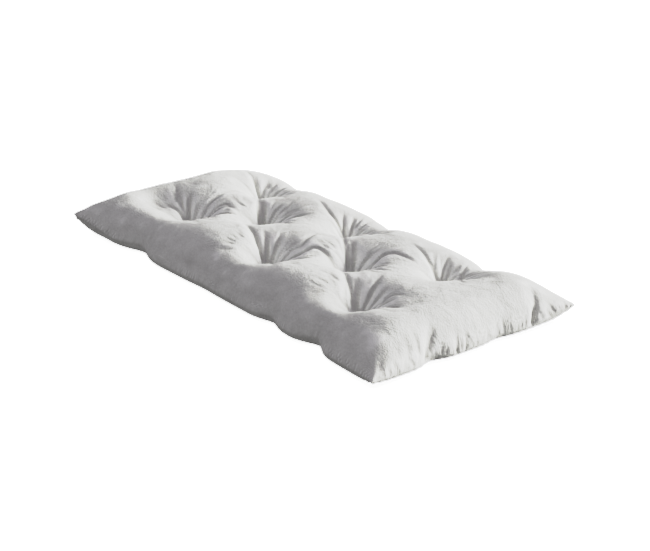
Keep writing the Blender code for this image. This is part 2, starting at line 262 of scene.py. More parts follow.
def top_height(x, y, plan_x, plan_y, seam):
    """Height of the top panel: crown and dimples over the seam's height."""
    crown = CROWN + MIDDLE_RISE * (1 - (2 * x / LENGTH) ** 2) * (1 - (2 * y / WIDTH) ** 2)
    for at_x, at_y, reach_x, reach_y, rise in SWELLINGS:
        crown = crown + rise * np.exp(-(((x - at_x) / reach_x) ** 2) - ((y - at_y) / reach_y) ** 2)
    standing = np.ones_like(x)
    for tie_x, tie_y, pit_height, spread, far_wall, _ in TIES:
        distance, bearing = seen_from(tie_x, tie_y, plan_x, plan_y)
        longer = 1 + far_wall * np.clip(np.cos(bearing - FAR_BEARING), 0, 1)
        funnel = np.exp(-((distance / (spread * longer)) ** 1.5))
        dish = np.exp(-((distance / DISH_REACH) ** 2))
        standing *= 1 - (1 - pit_height / crown) * (FUNNEL_SHARE * funnel + DISH_SHARE * dish)
    return seam + (crown - seam) * fullness(x, y, ROUNDING) * standing


middle_height = top_height(middle, middle, middle, middle, seam_height(middle, middle))
print("height over the middle", round(float(middle_height[0]), 4), "m")

# %% [markdown]
# ## The weave of points
#
# A cloth solver likes a regular grid: every point then has the same neighbours, and springs
# between them are plain array slices. Blender's own Cloth would do, but it can't make cloth that
# is cut fuller in one direction than in the other, which is what a gathered pleat is. So the grid
# is relaxed with numpy. Its lines are crowded where pleats are small: beside ties and along the rim.

# %% Lay out the grid
LINES_X, LINES_Y = 410, 204


def crowded(half, count, places, crowd, width):
    """Grid lines from -half to half, closer together beside the given places and at both ends."""
    fine = np.linspace(-half, half, 4001)
    from_end = half - np.abs(fine)
    density = 1 + crowd * sum(np.exp(-(((fine - place) / width) ** 2)) for place in places)
    density += 1.5 * np.exp(-(from_end / 0.010)) + 7 * np.exp(-(from_end / 0.0025))
    total = np.concatenate([[0], np.cumsum((density[1:] + density[:-1]) / 2)])
    return np.interp(np.linspace(0, total[-1], count + 1), total, fine)


lines_x = crowded(LENGTH / 2, LINES_X, (-0.370, -0.215, -0.015, 0.156, 0.345), 1.3, 0.055)
lines_y = crowded(WIDTH / 2, LINES_Y, (-0.105, 0.025, 0.140), 0.7, 0.050)
cut_x, cut_y = np.meshgrid(lines_x, lines_y, indexing="ij")
flat_x, flat_y = plan_position(cut_x, cut_y)
cut_seam = seam_height(cut_x, cut_y)
smooth_top = np.stack([flat_x, flat_y, top_height(cut_x, cut_y, flat_x, flat_y, cut_seam)], -1)


def normals_of(points):
    """Unit normals of a grid of points."""
    across = np.cross(np.gradient(points, axis=0), np.gradient(points, axis=1))
    return across / np.linalg.norm(across, axis=-1, keepdims=True)


outwards = normals_of(smooth_top)
print("grid of", cut_x.size, "points")

# %% [markdown]
# ## Furrows
#
# A furrow is a narrow valley with a beginning and an end. Sculpting them by brush would work once,
# but a list of lines can be changed and run again. Each furrow is a bent line on the plan; the
# depth fades out towards its end and the valley widens on its way.

# %% Carve valleys along bent lines
def valley(line, depth, width, ending=1.0, gentle=1.0):
    """How deep each grid point lies in a valley along a bent line.

    The right bank is gentle times as wide as the left one, or the left bank if gentle is negative.
    """
    line = np.array(line)
    runs = line[1:] - line[:-1]
    lengths = np.hypot(runs[:, 0], runs[:, 1])
    before = np.concatenate([[0], np.cumsum(lengths)])
    gap, travelled, bank = np.full(flat_x.shape, 9.0), np.zeros(flat_x.shape), np.ones(flat_x.shape)
    for start, run, length, done in zip(line, runs, lengths, before):
        share = ((flat_x - start[0]) * run[0] + (flat_y - start[1]) * run[1]) / length**2
        share = np.clip(share, 0, 1)
        away = np.hypot(flat_x - start[0] - share * run[0], flat_y - start[1] - share * run[1])
        nearer = away < gap
        on_right = (flat_x - start[0]) * run[1] - (flat_y - start[1]) * run[0] > 0
        travelled = np.where(nearer, done + share * length, travelled)
        bank = np.where(nearer, np.where(on_right == (gentle > 0), abs(gentle), 1.0), bank)
        gap = np.where(nearer, away, gap)
    part = travelled / before[-1]
    fade = np.clip(part / 0.12, 0.25, 1) * np.clip(1 - part, 0, 1) ** ending
    spread = width * (0.5 + 1.3 * part) * np.sqrt(np.clip(1 - part, 0, 1)) + 0.0012
    return depth * fade * np.exp(-((gap / (spread * bank)) ** 1.4))


def bent(points, steps=12):
    """A smooth line through a few points."""
    points = np.array(points)
    place = np.linspace(0, len(points) - 1, steps)
    padded = np.vstack([2 * points[0] - points[1], points, 2 * points[-1] - points[-2]])
    k = np.minimum(place.astype(int), len(points) - 2)
    t = (place - k)[:, None]
    a, b, c, d = (padded[k + n] for n in range(4))
    square, cube = 2 * a - 5 * b + 4 * c - d, 3 * b - a - 3 * c + d
    return 0.5 * (2 * b + (c - a) * t + square * t**2 + cube * t**3)


print("a bent line of", len(bent(((0, 0), (1, 0), (1, 1)))), "points")

# %% [markdown]
# The long folds run from one tie to the next, form the sharp left edge of a fan, or pull across
# the right end. Chance can't place these, because each one starts and ends somewhere in
# particular, so they are drawn one by one.

# %% The long folds
# The points each fold passes, its depth, its half width, and how gentle its right bank is.
LONG_FOLDS = (
    # Between the ties.
    (
        ((0.057, -0.097), (0.054, -0.058), (0.063, -0.025), (0.113, -0.025), (0.197, -0.041)),
        0.012, 0.007, 1.0,
    ),
    (((0.030, -0.045), (0.008, 0.003), (0.004, 0.031), (0.038, 0.042)), 0.006, 0.006, 1.0),
    (((0.213, -0.002), (0.197, 0.061), (0.205, 0.092), (0.237, 0.102), (0.294, 0.102)), 0.012, 0.007, 1.0),
    (
        ((-0.346, -0.097), (-0.377, -0.012), (-0.383, 0.057), (-0.352, 0.084), (-0.263, 0.045)),
        0.007, 0.006, 1.0,
    ),
    (((-0.333, -0.106), (-0.334, -0.020), (-0.293, -0.018), (-0.255, -0.019)), 0.007, 0.006, 1.0),
    (((-0.180, 0.015), (-0.148, 0.022), (-0.143, 0.076), (-0.109, 0.095)), 0.008, 0.006, 1.0),
    (((0.362, 0.122), (0.386, 0.129), (0.367, 0.172), (0.337, 0.225)), 0.010, 0.005, 1.0),
    (((0.366, -0.138), (0.392, -0.129), (0.385, -0.065), (0.434, -0.048)), 0.009, 0.006, 1.0),
    (((0.352, -0.142), (0.320, -0.140), (0.275, -0.105), (0.210, -0.055)), 0.007, 0.006, 1.0),
    (((0.180, -0.015), (0.132, 0.009), (0.065, 0.042), (0.043, 0.048)), 0.008, 0.006, 1.0),
    # The sharp left edge of each fan.
    (((-0.004, -0.124), (-0.060, -0.105), (-0.120, -0.083), (-0.200, -0.055)), 0.016, 0.0065, 4.5),
    (((0.345, -0.132), (0.300, -0.108), (0.245, -0.080), (0.180, -0.045)), 0.016, 0.0065, 4.5),
    (((0.164, 0.000), (0.120, 0.026), (0.070, 0.060), (0.010, 0.100)), 0.015, 0.0060, 4.5),
    (((0.343, 0.128), (0.300, 0.140), (0.255, 0.154), (0.200, 0.162)), 0.009, 0.0045, 1.6),
    (((-0.209, 0.015), (-0.250, 0.040), (-0.300, 0.073), (-0.350, 0.110)), 0.014, 0.0060, 4.5),
    (((-0.012, 0.132), (-0.055, 0.142), (-0.110, 0.153), (-0.190, 0.185)), 0.009, 0.0045, 1.8),
    (((-0.376, 0.140), (-0.415, 0.152), (-0.465, 0.170), (-0.520, 0.178)), 0.009, 0.0045, 1.8),
    (((-0.362, -0.110), (-0.405, -0.095), (-0.460, -0.075), (-0.530, -0.040)), 0.010, 0.0060, 3.5),
    # Pulls across the right end.
    (((0.600, 0.176), (0.588, 0.198), (0.572, 0.208), (0.548, 0.218)), 0.014, 0.0060, 1.0),
    (((0.598, -0.142), (0.584, -0.130), (0.572, -0.108), (0.556, -0.088)), 0.010, 0.0045, 1.0),
    (((0.590, -0.188), (0.574, -0.181), (0.556, -0.177)), 0.006, 0.0040, 1.0),
    (((0.590, -0.160), (0.572, -0.151), (0.550, -0.148)), 0.007, 0.0040, 1.0),
    (((0.586, -0.214), (0.566, -0.205), (0.552, -0.200)), 0.004, 0.0035, 1.0),
    (((0.595, -0.275), (0.580, -0.258), (0.566, -0.246)), 0.004, 0.0030, 1.0),
    (((0.596, -0.050), (0.588, -0.047), (0.578, -0.045)), 0.005, 0.0050, 1.0),
    (((0.596, -0.024), (0.588, -0.020), (0.580, -0.018)), 0.004, 0.0045, 1.0),
    (((0.602, 0.240), (0.592, 0.236), (0.580, 0.238)), 0.004, 0.0035, 1.0),
)
print(len(LONG_FOLDS), "long folds")

# %% [markdown]
# Every tie also has its own fan: the furrows at the given bearings, and between them fine wrinkles
# at random places. The furrows are deepest on the far wall and fade on the near side, where the
# cloth is pulled taut. The ties of the back row lie in thinner stuffing, so their furrows are
# shorter and shallower. Where two valleys meet, the deeper one counts.

# %% Carve every furrow
BACK_ROW, NEAR_BEARING = 0.05, 268
# Reach, depth and how gentle the bank is, for the back row and for the other two.
BACK_FURROWS, OTHER_FURROWS = (0.085, 0.0120, 1.0), (0.100, 0.0170, 2.4)
# Fine wrinkles round a tie, in the back row and the others, and the last of them within the fan.
BACK_FINE, OTHER_FINE, LAST_IN_FAN = 13, 20, 12


def fan_line(tie, start, reach, turn, swing, shares):
    """Points of a furrow that runs away from a tie and swings a little to one side."""
    steps = [(start + (reach - start) * share, turn + swing * share**2) for share in shares]
    return [(tie[0] + r * math.cos(at), tie[1] + r * math.sin(at)) for r, at in steps]


def in_mm(value):
    return round(float(value) * 1000, 1)


sunk, slopes = np.zeros(flat_x.shape), np.zeros(flat_x.shape)
for number, tie in enumerate(TIES):
    usual_reach, usual_depth, gentle = BACK_FURROWS if tie[1] > BACK_ROW else OTHER_FURROWS
    for count, bearing in enumerate(tie[5]):
        chance = math.sin(12.9 * number + 7.7 * count)
        reach, swing = usual_reach + 0.030 * chance, math.radians(9 * math.sin(5.1 * number + 3.3 * count))
        line = fan_line(tie, 0.010, reach, math.radians(bearing), swing, (0, 0.35, 0.7, 1))
        taut_side = min(0.35 + 0.9 * math.cos(math.radians(bearing - NEAR_BEARING)), 1)
        depth = usual_depth * (1 + 0.18 * chance) * (1 - 0.97 * max(taut_side, 0))
        bank = gentle if 68 < bearing < 200 else -gentle
        sunk = np.maximum(sunk, valley(bent(line, 7), depth, 0.0038, 1.0, bank))
for number, tie in enumerate(TIES):
    chance = np.random.default_rng(40 + number)
    for count in range(BACK_FINE if tie[1] > BACK_ROW else OTHER_FINE):
        beyond = max(count - LAST_IN_FAN, 0)
        turn = math.radians(-10 + 13.5 * count + chance.uniform(-6, 6) - 4 * beyond)
        start, reach = chance.uniform(0.035, 0.060), chance.uniform(0.090, 0.150)
        swing = math.radians(chance.normal(0, 7))
        if beyond:  # these lie left of the fan, further out on the mound
            start, reach = start + 0.040, reach + 0.025
        line = fan_line(tie, start, reach, turn, swing, (0, 0.5, 1))
        sunk = np.maximum(sunk, valley(bent(line, 6), chance.uniform(0.0020, 0.0050), 0.0034))
for points, depth, width, gentle in LONG_FOLDS:
    if gentle > 1:
        slopes = np.maximum(slopes, valley(bent(points), 0.65 * depth, width, 0.9, gentle))
        depth = 0.5 * depth
    sunk = np.maximum(sunk, valley(bent(points), depth, width, 0.7))
sunk = slopes + sunk
print("deepest furrow", in_mm(sunk.max()), "mm")

# %% [markdown]
# ## Gathers along the seam
#
# When two long edges are sewn by machine, the thread draws the cloth up into small puckers. They
# are strongest across the ends, where the filling pushes least, and faint along the sides. They
# stand a little apart by chance, so a seeded random generator places them: the same seed gives
# the same mattress each time the script runs.

# %% Pucker the cloth beside the seam
def gathers(side, spacing, depth, tall, seed):
    """How far each grid point beside one side is pushed in between two puckers."""
    chance = np.random.default_rng(seed)
    inset, along = inset_and_along(side, cut_x, cut_y)
    above = smooth_top[..., 2] - cut_seam + 0.5 * inset
    pushed, place = np.zeros_like(along), -half_of(side) + 0.012
    while place < half_of(side) - 0.012:
        reach, deep = tall * chance.uniform(0.4, 1.7), depth * chance.uniform(0.3, 1.3)
        lean = chance.normal(0, 0.35)
        near = (along - place - lean * above) / (0.0022 + 0.10 * np.minimum(above, 0.05))
        rise = np.clip(above / 0.004, 0, 1) * np.exp(-((above / reach) ** 2)) * (inset < 0.05)
        pushed = np.maximum(pushed, deep * rise * np.exp(-(near**2)))
        place += spacing * chance.uniform(0.5, 1.6)
    return pushed


puckers = gathers("right", 0.011, 0.0040, 0.020, 11) + gathers("left", 0.012, 0.0030, 0.018, 12)
puckers += gathers("front", 0.020, 0.0010, 0.014, 13) + gathers("back", 0.020, 0.0012, 0.016, 14)
inset = np.minimum(LENGTH / 2 - np.abs(cut_x), WIDTH / 2 - np.abs(cut_y))
inland = np.clip(inset / 0.020, 0, 1)
filling = (smooth_top - outwards * (sunk + puckers + 0.0010 * inland)[..., None]).astype(np.float32)
print("puckers up to", in_mm(puckers.max()), "mm deep")

# %% [markdown]
# ## How much cloth there is
#
# Round a tie there is too much cloth: the ring of cloth that lay 10 cm out has to pass a ring that
# is half as long. That surplus is what folds. Each spring of the grid gets a rest length a little
# longer than the filling beneath it, most of all for springs that run round a tie, and beside
# the seam for springs that run along it. Springs that point at a tie get no surplus and stay taut.

# %% Rest lengths of the springs
ROUND_TIES, TIE_REACH, ALONG_SEAM = 0.16, 0.060, 0.015
WITH_THREADS, ON_BIAS, AGAINST_FOLDING = 0.22, 0.10, -0.05


def rest_length(near, far, x, y):
    """Length the cloth is cut to between two grid points."""
    run = far - near
    length = np.linalg.norm(run, axis=-1)
    heading = run[..., :2] / np.maximum(np.linalg.norm(run[..., :2], axis=-1, keepdims=True), 1e-9)
    between, surplus = (near + far) / 2, np.zeros(length.shape)
    for tie_x, tie_y, *_ in TIES:
        away = between[..., :2] - np.array([tie_x, tie_y])
        distance = np.linalg.norm(away, axis=-1)
        outward = (away / np.maximum(distance, 1e-6)[..., None] * heading).sum(-1)
        taut = 0.5 + 0.5 * np.cos(np.arctan2(away[..., 1], away[..., 0]) - math.radians(NEAR_BEARING))
        nearby = ROUND_TIES * np.exp(-((distance / TIE_REACH) ** 2))
        surplus += nearby * (1 - outward**2) * (1 - 0.9 * taut**2)
    inset_x, inset_y = LENGTH / 2 - np.abs(x), WIDTH / 2 - np.abs(y)
    surplus += ALONG_SEAM * np.exp(-((inset_y / 0.030) ** 2)) * heading[..., 0] ** 2
    surplus += 2 * ALONG_SEAM * np.exp(-((inset_x / 0.040) ** 2)) * heading[..., 1] ** 2
    return (length * (1 + surplus)).astype(np.float32)


def springs():
    """Spring families: two slices of the grid, the rest lengths between them and the stiffness.

    A negative stiffness marks a spring that only resists folding: it pushes and never pulls.
    """
    every, first, last = slice(None), slice(None, -1), slice(1, None)
    pairs = [((first, every), (last, every), WITH_THREADS), ((every, first), (every, last), WITH_THREADS)]
    pairs += [((first, first), (last, last), ON_BIAS), ((last, first), (first, last), ON_BIAS)]
    for span in (2, 4):
        low, high = slice(None, -span), slice(span, None)
        pairs.append(((low, every), (high, every), AGAINST_FOLDING))
        pairs.append(((every, low), (every, high), AGAINST_FOLDING))
    base = smooth_top
    return [(a, b, rest_length(base[a], base[b], cut_x[a], cut_y[a]), k) for a, b, k in pairs]


families = springs()
print(sum(rest.size for _, _, rest, _ in families), "springs")

# %% [markdown]
# ## Let the cloth settle
#
# Each step moves the points a little on, pushes them out with the pressure of the filling, draws
# them back where they leave it, and then shortens or lengthens each spring towards its rest
# length. Stitched points stay put. A few hundred steps are enough, because folds are small and
# settle quickly. A cap holds every point within a few millimetres of the filling, so the piece
# can't drift out of the space that the CAD solid holds.

# %% A solver for the top panel
STITCHED, STEPS, QUICK_STEPS = 0.006, 320, 20
nearest_tie = np.min([np.hypot(flat_x - tie[0], flat_y - tie[1]) for tie in TIES], axis=0)
free = (nearest_tie > STITCHED).astype(np.float32)
free[0] = free[-1] = free[:, 0] = free[:, -1] = 0
free = free[..., None]


def settle(steps, pressure=0.00003, hold=0.024, inside=0.005, outside=0.0025):
    """Relaxes the grid like cloth over the filling and returns the settled points."""
    chance = np.random.default_rng(7)
    push = outwards.astype(np.float32)
    unrest = 0.0001 * chance.standard_normal(cut_x.shape)[..., None]
    cloth = filling + push * unrest.astype(np.float32) * free
    speed = np.zeros_like(cloth)
    for _ in range(steps):
        before = cloth.copy()
        cloth += 0.9 * speed * free
        height = ((cloth - filling) * push).sum(-1, keepdims=True)
        slide = cloth - filling - height * push
        cloth += (push * (pressure - hold * height) - 0.002 * slide) * free
        pull = np.zeros_like(cloth)
        for a, b, rest, stiffness in families:
            run = cloth[b] - cloth[a]
            length = np.sqrt((run * run).sum(-1))
            excess = (length - rest) / length
            if stiffness < 0:
                excess = np.minimum(excess, 0)
            step = (excess * abs(stiffness))[..., None] * run
            pull[a] += step
            pull[b] -= step
        cloth += pull * free
        height = ((cloth - filling) * push).sum(-1, keepdims=True)
        cloth -= push * (height - np.clip(height, -inside, outside)) * free
        speed = cloth - before
    return cloth


top = settle(STEPS)
print("settled; the highest point is at", in_mm(top[..., 2].max()), "mm")

# %% [markdown]
# Where no fold was asked for, the solver leaves tiny buckles as wide as its grid. Averaging each
# point with its neighbours calms them. A mask keeps the averaging away from the fans, from the
# furrows and from the gathers along the seam, which should stay crisp.

# %% Calm the smooth mounds
CALMING, ROUNDS = 0.8, 7


def neighbours(values):
    """The mean of the four neighbours of each grid point."""
    around = np.pad(values, [(1, 1), (1, 1)] + [(0, 0)] * (values.ndim - 2), mode="edge")
    return (around[:-2, 1:-1] + around[2:, 1:-1] + around[1:-1, :-2] + around[1:-1, 2:]) / 4


def lift_of(points):
    """How far grid points lie outside the smooth filling."""
    return ((points - smooth_top) * outwards).sum(-1)


calm = np.clip((nearest_tie - 0.075) / 0.030, 0, 1) * np.clip((inset - 0.006) / 0.008, 0, 1)
calm *= np.clip(1 - (sunk + puckers) / 0.0020, 0, 1)
for _ in range(ROUNDS):
    top = top + CALMING * calm[..., None] * (neighbours(top) - top)
lift = lift_of(top)
print("the cloth lies", in_mm(lift.min()), "to", in_mm(lift.max()), "mm from the smooth filling")

# %% [markdown]
# ## Lumps and fine wrinkles
#
# Two things are left that are too shallow for the solver. Loose fibre is never even, so the mounds
# have lumps about a hand's breadth across and a millimetre high. And the cloth is crossed by
# fine wrinkles that point at the ties. Neither changes the shape, but in a low light they
# shade the mounds softly and break the edge between light and shade into streaks. The height
# above a blurred copy of the cloth then says which points are ridges and which are furrows: the
# colour paints the ridges paler, a painted highlight, and the furrows darker, a painted shade.

# %% Uneven stuffing
def lumps(cells, seed):
    """Smooth random hills, a given number of them across the width."""
    chance = np.random.default_rng(seed)
    hills = chance.standard_normal((2 * cells + 4, cells + 4))
    along = (cut_x / LENGTH + 0.5) * 2 * cells + 1
    across = (cut_y / WIDTH + 0.5) * cells + 1
    i, j = along.astype(int), across.astype(int)
    s, t = along - i, across - j
    s, t = s * s * (3 - 2 * s), t * t * (3 - 2 * t)
    height = hills[i, j] * (1 - s) * (1 - t) + hills[i + 1, j] * s * (1 - t)
    return height + hills[i, j + 1] * (1 - s) * t + hills[i + 1, j + 1] * s * t


def ribs(number, tie_x, tie_y):
    """Height of the fine wrinkles round one tie."""
    chance = np.random.default_rng(100 + number)
    distance, bearing = seen_from(tie_x, tie_y, flat_x, flat_y)
    height = np.zeros_like(distance)
    for waves in (19, 27, 34, 43, 52, 61, 74):
        phase, drift = chance.uniform(0, 2 * math.pi), chance.normal(0, 16)
        height += np.sin(waves * bearing + phase + drift * distance) * chance.uniform(0.6, 1.2)
    start = np.clip((distance - 0.040) / 0.040, 0, 1)
    return 0.00010 * height * start * np.exp(-((distance / 0.135) ** 2))


fine = 0.0010 * lumps(9, 21) + 0.0006 * lumps(19, 22) + 0.00015 * lumps(45, 23)
fine = (fine + sum(ribs(number, tie[0], tie[1]) for number, tie in enumerate(TIES))) * inland
top = top + outwards * fine[..., None]
print("lumps and wrinkles up to", in_mm(np.abs(fine).max()), "mm")

# %% Find the ridges and furrows for painted highlight and shade
BLUR_ROUNDS, FULL_RIDGE = 30, 0.0012
lift = blurred = lift_of(top)
for _ in range(BLUR_ROUNDS):
    blurred = neighbours(blurred)
ridges = np.clip((lift - blurred) / FULL_RIDGE, -1, 1)
print(round(100 * float((ridges > 0.5).mean()), 1), "% of the points are ridges")

# %% [markdown]
# ## The underside
#
# The bottom panel lies on the floor, pressed flat by the weight, and rises to the seam in a small
# round. It needs far fewer points than the top, but it has to share every point of the rim with
# it, or the cover would split open. Triangulating a cloud of points inside the rim's loop does
# both: rows of points that thin out from the rim, and an even spread in the middle.

# %% Points of the underside
INNER_INSET, INNER_ROWS, INNER_COLUMNS, ROW_SHIFT = 0.044, 56, 104, 0.0025


def rim_loop(half_x, half_y, along_x, along_y):
    """Points round a rectangle, anticlockwise from its front left corner."""
    row = [(x, -half_y) for x in along_x[:-1]] + [(half_x, y) for y in along_y[:-1]]
    row += [(x, half_y) for x in along_x[:0:-1]] + [(-half_x, y) for y in along_y[:0:-1]]
    return np.array(row)


def under_points():
    """Places on the cut rectangle: the rim, four loops inside it and staggered rows in the middle."""
    parts = [rim_loop(LENGTH / 2, WIDTH / 2, lines_x, lines_y)]
    for inset, skip in ((0.004, 1), (0.010, 2), (0.020, 2), (0.034, 4)):
        along_x = (lines_x * (1 - 2 * inset / LENGTH))[::skip]
        along_y = (lines_y * (1 - 2 * inset / WIDTH))[::skip]
        parts.append(rim_loop(LENGTH / 2 - inset, WIDTH / 2 - inset, along_x, along_y))
    room_x, room_y = LENGTH / 2 - INNER_INSET, WIDTH / 2 - INNER_INSET
    for number, y in enumerate(np.linspace(-room_y, room_y, INNER_ROWS)):
        shift = ROW_SHIFT if number % 2 else -ROW_SHIFT
        parts.append(np.array([(x + shift, y) for x in np.linspace(-room_x, room_x, INNER_COLUMNS)]))
    return np.vstack(parts)


under = under_points()
rim_count = 2 * (LINES_X + LINES_Y)
print(len(under), "points,", rim_count, "of them on the rim")

# %% Height of the underside
def under_height(x, y, plan_x, plan_y):
    """The bottom panel: flat, with a shallow pit under each tie and small folds beside it."""
    inset = np.minimum(LENGTH / 2 - np.abs(x), WIDTH / 2 - np.abs(y))
    height = seam_height(x, y) * (1 - fullness(x, y, dict.fromkeys(ROUNDING, UNDER_ROUNDING)))
    for number, (tie_x, tie_y, *_) in enumerate(TIES):
        distance, bearing = seen_from(tie_x, tie_y, plan_x, plan_y)
        pit = np.clip(1 - (distance / 0.055) ** 2, 0, 1) ** 2
        folds = np.abs(np.sin(5.5 * bearing + number)) ** 0.7
        folds = folds * np.clip(distance / 0.015, 0, 1) * np.clip(1 - distance / 0.085, 0, 1)
        height = height + 0.012 * pit + 0.0035 * folds * np.clip(distance / 0.02, 0, 1)
    ripple = np.sin(2 * math.pi * (x + y) / 0.019 + 3 * np.sin(9 * x) + 2 * np.sin(13 * y))
    beside = np.clip(inset / 0.004, 0, 1) * np.exp(-inset / 0.016)
    at_end = np.exp(-(((LENGTH / 2 - np.abs(x)) / 0.05) ** 2))
    return height + (0.0003 + 0.0009 * at_end) * ripple * beside


under_x, under_y = plan_position(under[:, 0], under[:, 1])
under_z = under_height(under[:, 0], under[:, 1], under_x, under_y)
bottom = np.column_stack([under_x, under_y, np.maximum(under_z, 0)])
print("the underside rises to", round(float(under_z.max()), 4), "m")

# %% [markdown]
# ## One closed cover
#
# The two panels become one mesh. The grid gives four-sided faces for the top, the triangulation
# gives the underside, and the rim's points are used by both, which is what the seam does to the
# real panels. The thread holds the seam a little back from the cloth that bulges on both sides of
# it, so the rim is sunk by about a millimetre and its edges are marked sharp: light breaks there.

# %% Join the two panels
SEAM_SUNK = 0.0012
index = np.arange(cut_x.size).reshape(cut_x.shape)
top_faces = np.stack([index[:-1, :-1], index[1:, :-1], index[1:, 1:], index[:-1, 1:]], -1).reshape(-1, 4)
rim_index = np.concatenate([index[:-1, 0], index[-1, :-1], index[:0:-1, -1], index[0, :0:-1]])
flat_under = [Vector(point) for point in under]
result = delaunay_2d_cdt(flat_under, [], [list(range(rim_count))], 1, 1e-7)
source = [origins[0] for origins in result[3]]
number_of = np.concatenate([rim_index, cut_x.size + np.arange(len(under) - rim_count)])


def facing_down(face):
    """The corners of an underside triangle, in the order that makes it face down."""
    a, b, c = (source[corner] for corner in face)
    if (flat_under[b] - flat_under[a]).cross(flat_under[c] - flat_under[a]) > 0:
        b, c = c, b
    return [int(number_of[a]), int(number_of[b]), int(number_of[c])]


top[0, :, 0] += SEAM_SUNK
top[-1, :, 0] -= SEAM_SUNK
top[:, 0, 1] += SEAM_SUNK
top[:, -1, 1] -= SEAM_SUNK
under_faces = [facing_down(face) for face in result[2]]
places = np.vstack([top.reshape(-1, 3), bottom[rim_count:]])
shell = bpy.data.meshes.new("cover")
shell.from_pydata(places.tolist(), [], top_faces.tolist() + under_faces)
shell.update()
shell.shade_smooth()
on_rim = set(rim_index.tolist())
for edge in shell.edges:
    edge.use_edge_sharp = edge.vertices[0] in on_rim and edge.vertices[1] in on_rim
# Ridge height per point: the material paints ridges lighter and furrows darker, as painted highlight and
# painted shade.
painted_ridge_shading = shell.attributes.new("painted_ridge_shading", "FLOAT", "POINT")
painted_ridge_shading_values = np.concatenate([ridges.ravel(), np.zeros(len(bottom) - rim_count)])
painted_ridge_shading.data.foreach_set("value", painted_ridge_shading_values.astype(np.float32))
cover = bpy.data.objects.new("cover", shell)
bpy.context.scene.collection.objects.link(cover)
print("cover:", len(shell.vertices), "points,", 2 * len(top_faces) + len(under_faces), "triangles")

# %% [markdown]
# ## The thread of the ties
#
# At the bottom of each pit a strong thread comes up, crosses a few millimetres of cloth twice and
# goes down again, and the same on the underside. A thread could be a curve with a bevel, but two
# plies that wind round each other look like thread from close by, and they are only tubes along a
# path. Each strand follows the cloth below it and dives in at both ends.

# %% Make the stitches
STRAND_LENGTH, STRAND_GAP, PLY_RADIUS = 0.010, 0.0022, 0.00055
PLY_SIDES, PLY_TWIST, STRAND_STEPS = 7, 0.55, 27


def height_near(points, x, y):
    """Height of a cloud of surface points beside one place."""
    away = np.hypot(points[:, 0] - x, points[:, 1] - y)
    nearest = np.argsort(away)[:4]
    share = 1 / (away[nearest] + 0.0003)
    return float((points[nearest, 2] * share).sum() / share.sum())


def ply(path, phase, rings, faces):
    """Adds one ply: a thin tube that winds round a path."""
    first, sides = sum(len(ring) for ring in rings), PLY_SIDES
    turns = [2 * math.pi * k / sides for k in range(sides)]
    for number, centre in enumerate(path):
        ahead = path[min(number + 1, len(path) - 1)] - path[max(number - 1, 0)]
        ahead.normalize()
        side = Vector((-ahead.y, ahead.x, 0)).normalized()
        up = ahead.cross(side)
        wound = phase + PLY_TWIST * number
        middle = centre + 0.8 * PLY_RADIUS * (math.cos(wound) * side + math.sin(wound) * up)
        outwards_all_round = [math.cos(turn) * side + math.sin(turn) * up for turn in turns]
        rings.append([middle + PLY_RADIUS * outward for outward in outwards_all_round])
    for low in range(first, first + (len(path) - 1) * sides, sides):
        high = low + sides
        for k in range(sides):
            after = (k + 1) % sides
            faces.append((low + k, low + after, high + after, high + k))
    faces.append(tuple(first + k for k in reversed(range(sides))))
    faces.append(tuple(first + (len(path) - 1) * sides + k for k in range(sides)))


def stitch(tie, number, points, upward, rings, faces):
    """Two strands side by side over the cloth at one end of a tie."""
    turn = 0.5 * math.sin(4.7 * number + upward)
    along = Vector((math.cos(turn), math.sin(turn), 0))
    beside = Vector((-math.sin(turn), math.cos(turn), 0))
    for shift in (-0.5, 0.5):
        path = []
        for share in np.linspace(-1, 1, STRAND_STEPS):
            place = Vector((tie[0], tie[1], 0)) + along * (0.5 * STRAND_LENGTH * share)
            place = place + beside * (STRAND_GAP * shift)
            place.z = height_near(points, place.x, place.y) + upward * (0.0009 - 0.0035 * abs(share) ** 7)
            path.append(place)
        for phase in (0, math.pi):
            ply(path, phase, rings, faces)


def make_threads():
    """The stitches of all ties, above and below, as one piece."""
    rings, faces = [], []
    for number, tie in enumerate(TIES):
        stitch(tie, number, top.reshape(-1, 3), 1, rings, faces)
        stitch(tie, number, bottom, -1, rings, faces)
    mesh = bpy.data.meshes.new("tie_threads")
    mesh.from_pydata([point for ring in rings for point in ring], [], faces)
    mesh.shade_smooth()
    made = bpy.data.objects.new("tie_threads", mesh)
    bpy.context.scene.collection.objects.link(made)
    return made


tie_threads = make_threads()
print("thread:", len(tie_threads.data.polygons), "faces in", 4 * len(TIES), "strands")

# %% [markdown]
# ## Brushed cloth
#
# The cloth has a short brushed nap. Up close it is a fine, slightly uneven weave; from a step away
# the nap lies in different directions and makes soft lighter and darker patches. A photograph of
# cloth could be wrapped round the mesh, but noise in object space needs no seams and no images.
# The two effects are node groups, because the thread of the ties uses the same ones.

# %% Helpers for node groups
def new_group(title, inputs, outputs):
    """An empty node group with named float inputs and the given outputs."""
    group = bpy.data.node_groups.new(title, "ShaderNodeTree")
    for name, value in inputs:
        socket = group.interface.new_socket(name=name, in_out="INPUT", socket_type="NodeSocketFloat")
        socket.default_value = value
    for name, kind in outputs:
        group.interface.new_socket(name=name, in_out="OUTPUT", socket_type=kind)
    return group, group.nodes.new("NodeGroupInput"), group.nodes.new("NodeGroupOutput")


def node(tree, kind, wired=(), **settings):
    """A node with settings, and inputs that take either a value or another node's socket."""
    made = tree.nodes.new(kind)
    for name, value in settings.items():
        setattr(made, name, value)
    for socket, value in dict(wired).items():
        if isinstance(value, bpy.types.NodeSocket):
            tree.links.new(value, made.inputs[socket])
        else:
            made.inputs[socket].default_value = value
    return made


def maths(tree, operation, *values, clamp=False):
    """A calculation with two or three values."""
    wired = dict(enumerate(values))
    return node(tree, "ShaderNodeMath", wired, operation=operation, use_clamp=clamp).outputs[0]


